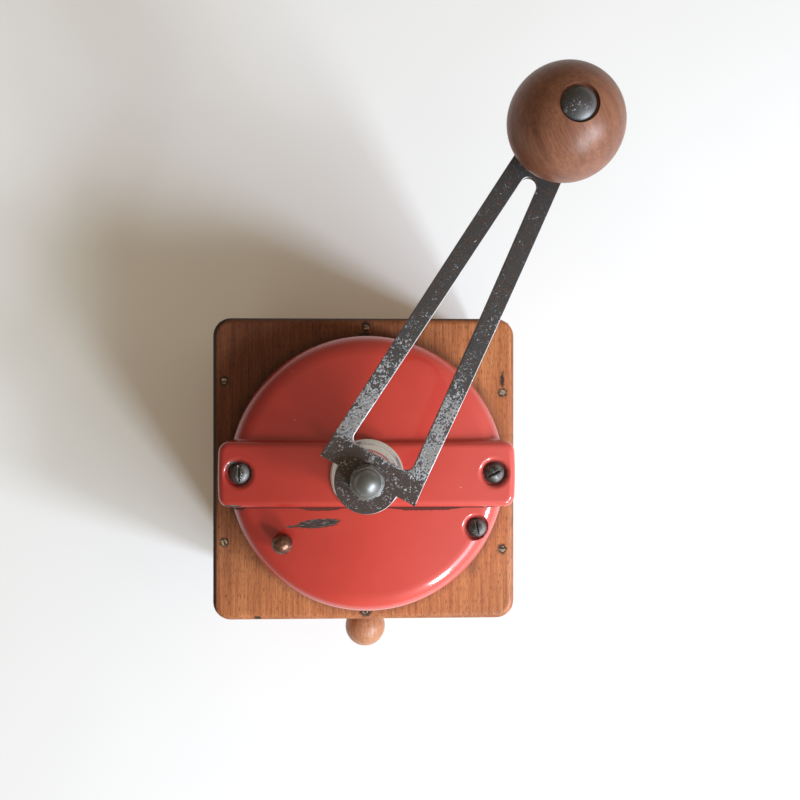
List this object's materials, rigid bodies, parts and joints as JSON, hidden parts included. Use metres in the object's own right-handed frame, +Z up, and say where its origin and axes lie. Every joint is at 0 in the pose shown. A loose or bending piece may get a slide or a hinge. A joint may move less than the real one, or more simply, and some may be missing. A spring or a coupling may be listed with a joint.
{
  "type": "hand crank coffee grinder",
  "caption": "Square wooden box mill with a red domed metal top, swinging bean hatch, long slotted steel crank with a wooden ball, and a coffee drawer.",
  "frame": {"origin": "on the spindle's axis at the underside of the base board", "axes": "+Z up along the spindle, -Y out of the drawer's face, +X to the right seen from the drawer"},
  "size_m": [0.1546, 0.2437, 0.2188],
  "materials": {
    "case_wood": "oiled, worn",
    "drawer_wood": "plain",
    "ball_wood": "polished by use",
    "red_enamel": "gloss enamel, chipped",
    "dark_steel": "dark, weathered",
    "nickel": "satin nickel",
    "iron": "as cast",
    "tin": "tinned sheet",
    "brass": "oxidised"
  },
  "bodies": {
    "case": {"top_board": "case_wood", "base_board": "case_wood", "left_side": "case_wood", "right_side": "case_wood", "front_panel": "case_wood", "back_panel": "case_wood", "drawer_guides": "drawer_wood", "top_nails": "dark_steel", "base_screws": "dark_steel", "hopper_bowl": "tin", "hopper_screws": "dark_steel", "mill_body": "iron", "mill_screws": "dark_steel", "bridge": "dark_steel", "bridge_screws": "dark_steel", "dome_shell": "red_enamel", "band_screws": "dark_steel", "band_sleeves": "dark_steel", "hatch_pivot_post": "dark_steel", "hatch_pivot_screw": "dark_steel", "bearing_bell": "nickel", "top_bush": "brass", "thrust_spring": "dark_steel"},
    "hatch_leaf": {"hatch": "red_enamel", "hatch_knob": "brass"},
    "drawer": {"drawer_front": "drawer_wood", "drawer_sides": "drawer_wood", "drawer_back": "drawer_wood", "drawer_floor": "drawer_wood", "drawer_knob": "drawer_wood", "drawer_knob_screw": "dark_steel"},
    "adjuster": {"adjusting_wheel": "brass", "wheel_ring": "dark_steel"},
    "yoke": {"thrust_yoke": "dark_steel"},
    "crank": {"spindle": "dark_steel", "burr_cone": "iron", "cone_pin": "dark_steel", "spring_collar": "dark_steel", "crank_arm": "dark_steel", "crank_washer": "dark_steel", "acorn_nut": "dark_steel", "ball_washer": "dark_steel", "ball_pin": "dark_steel"},
    "ball": {"ball_knob": "ball_wood"}
  },
  "joints": [
    {"name": "hatch_swing", "type": "hinge", "parent": "case", "child": "hatch_leaf", "pos_m": [0.0454, -0.0222, 0.13], "axis": [0, 0, 1], "range_deg": [0, 78]},
    {"name": "drawer_slide", "type": "slide", "parent": "case", "child": "drawer", "axis": [0, -1, 0], "range_m": [0, 0.085]},
    {"name": "adjuster_turn", "type": "hinge", "parent": "case", "child": "adjuster", "pos_m": [0, 0, 0.049], "axis": [0, 0, 1], "range_deg": [-270, 135]},
    {"name": "yoke_lift", "type": "slide", "parent": "case", "child": "yoke", "axis": [0, 0, 1], "range_m": [-0.00094, 0.00047], "deforming": ["thrust_spring"]},
    {"name": "crank_spin", "type": "hinge", "parent": "yoke", "child": "crank", "pos_m": [0, 0, 0.1], "axis": [0, 0, -1], "continuous": true},
    {"name": "ball_spin", "type": "hinge", "parent": "crank", "child": "ball", "pos_m": [0.06716, 0.12421, 0.1783], "axis": [0.0178, 0.033, 0.9993], "continuous": true}
  ],
  "couplings": [
    {"joint": "adjuster_turn", "follows": "yoke_lift", "rad_per_m": 5026.5}
  ]
}
